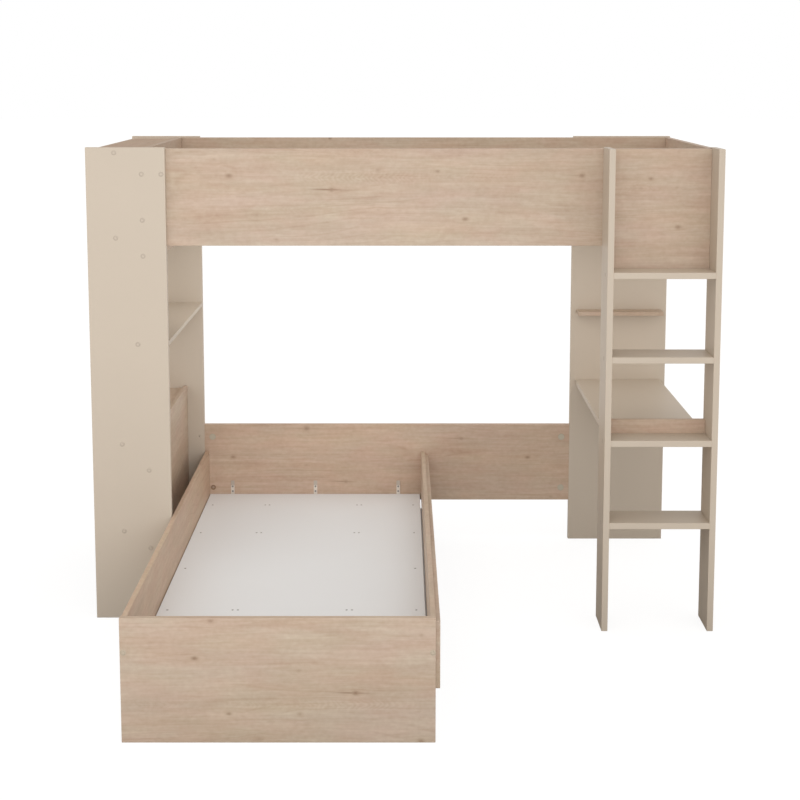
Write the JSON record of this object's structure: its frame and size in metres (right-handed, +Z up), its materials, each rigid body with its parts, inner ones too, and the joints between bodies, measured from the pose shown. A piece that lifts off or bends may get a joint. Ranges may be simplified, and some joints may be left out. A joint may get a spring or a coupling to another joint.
{
  "type": "L-shaped bunk bed with ladder, desk and shelf unit",
  "caption": "L-shaped bunk bed: high bed on a shelf unit and a ladder with desk below, low bed turned towards the front, flat wood-print and beige boards.",
  "frame": {"origin": "centre of the footprint at floor level", "axes": "+X to the ladder's side (right in the picture), +Y to the back, +Z up"},
  "size_m": [2.2432, 2.0614, 1.73],
  "materials": {
    "beige_board": "beige melamine-faced board, matt, fine print grain",
    "unit_top_board_decor": "light knotty wood print on board, matt, matching edge band",
    "unit_cupboard_top_decor": "light knotty wood print on board, matt, matching edge band",
    "unit_cupboard_side_decor": "light knotty wood print on board, matt, matching edge band",
    "upper_front_board_decor": "light knotty wood print on board, matt, matching edge band",
    "upper_back_board_decor": "light knotty wood print on board, matt, matching edge band",
    "upper_end_left_decor": "light knotty wood print on board, matt, matching edge band",
    "upper_end_right_decor": "light knotty wood print on board, matt, matching edge band",
    "plain_timber": "plain planed timber, unfinished",
    "white_board": "white melamine-faced board, matt",
    "ladder_guard_board_decor": "light knotty wood print on board, matt, matching edge band",
    "desk_lip_decor": "light knotty wood print on board, matt, matching edge band",
    "desk_wall_shelf_decor": "light knotty wood print on board, matt, matching edge band",
    "low_front_board_decor": "light knotty wood print on board, matt, matching edge band",
    "low_back_board_decor": "light knotty wood print on board, matt, matching edge band",
    "low_rail_left_decor": "light knotty wood print on board, matt, matching edge band",
    "low_rail_right_decor": "light knotty wood print on board, matt, matching edge band",
    "low_side_board_decor": "light knotty wood print on board, matt, matching edge band",
    "zinc_steel": "zinc-plated",
    "beige_plastic": "matt, matched to the beige board",
    "wood_tone_plastic": "matt, matched to the wood print",
    "dowel_wood": "plain beech",
    "cam_zinc": "die-cast zinc",
    "cover_plastic": "matt grey-beige",
    "bracket_steel": "zinc-plated sheet"
  },
  "bodies": {
    "root": {"left_front_panel": "beige_board", "left_back_panel": "beige_board", "unit_top_board": "unit_top_board_decor", "unit_upper_shelf": "beige_board", "unit_bedside_shelf": "beige_board", "unit_cupboard_top": "unit_cupboard_top_decor", "unit_lower_shelf": "beige_board", "unit_cupboard_side": "unit_cupboard_side_decor", "upper_front_board": "upper_front_board_decor", "upper_back_board": "upper_back_board_decor", "upper_end_left": "upper_end_left_decor", "upper_end_right": "upper_end_right_decor", "upper_batten_front": "plain_timber", "upper_batten_back": "plain_timber", "upper_beam_1": "plain_timber", "upper_beam_2": "plain_timber", "upper_beam_3": "plain_timber", "upper_base_left": "white_board", "upper_base_right": "white_board", "ladder_stile_left": "beige_board", "ladder_stile_right": "beige_board", "ladder_guard_board": "ladder_guard_board_decor", "ladder_step_1": "beige_board", "ladder_step_2": "beige_board", "ladder_step_3": "beige_board", "ladder_step_4": "beige_board", "desk_back_panel": "beige_board", "desktop": "beige_board", "desk_lip": "desk_lip_decor", "desk_wall_shelf": "desk_wall_shelf_decor", "low_front_board": "low_front_board_decor", "low_back_board": "low_back_board_decor", "low_rail_left": "low_rail_left_decor", "low_rail_right": "low_rail_right_decor", "low_side_board": "low_side_board_decor", "low_base": "white_board", "low_ledge_left": "white_board", "low_ledge_right": "white_board", "low_support_1": "white_board", "low_support_2": "white_board", "low_support_3": "white_board", "low_support_4": "white_board", "low_support_5": "white_board", "connecting_screws": "zinc_steel", "short_screws": "zinc_steel", "screw_caps_beige": "beige_plastic", "screw_caps_wood": "wood_tone_plastic", "wood_dowels": "dowel_wood", "cam_locks": "cam_zinc", "cam_bolts": "zinc_steel", "cam_covers": "cover_plastic", "base_brackets": "bracket_steel", "bracket_screws": "zinc_steel", "wood_screws": "zinc_steel", "side_board_screws": "zinc_steel"}
  },
  "joints": []
}
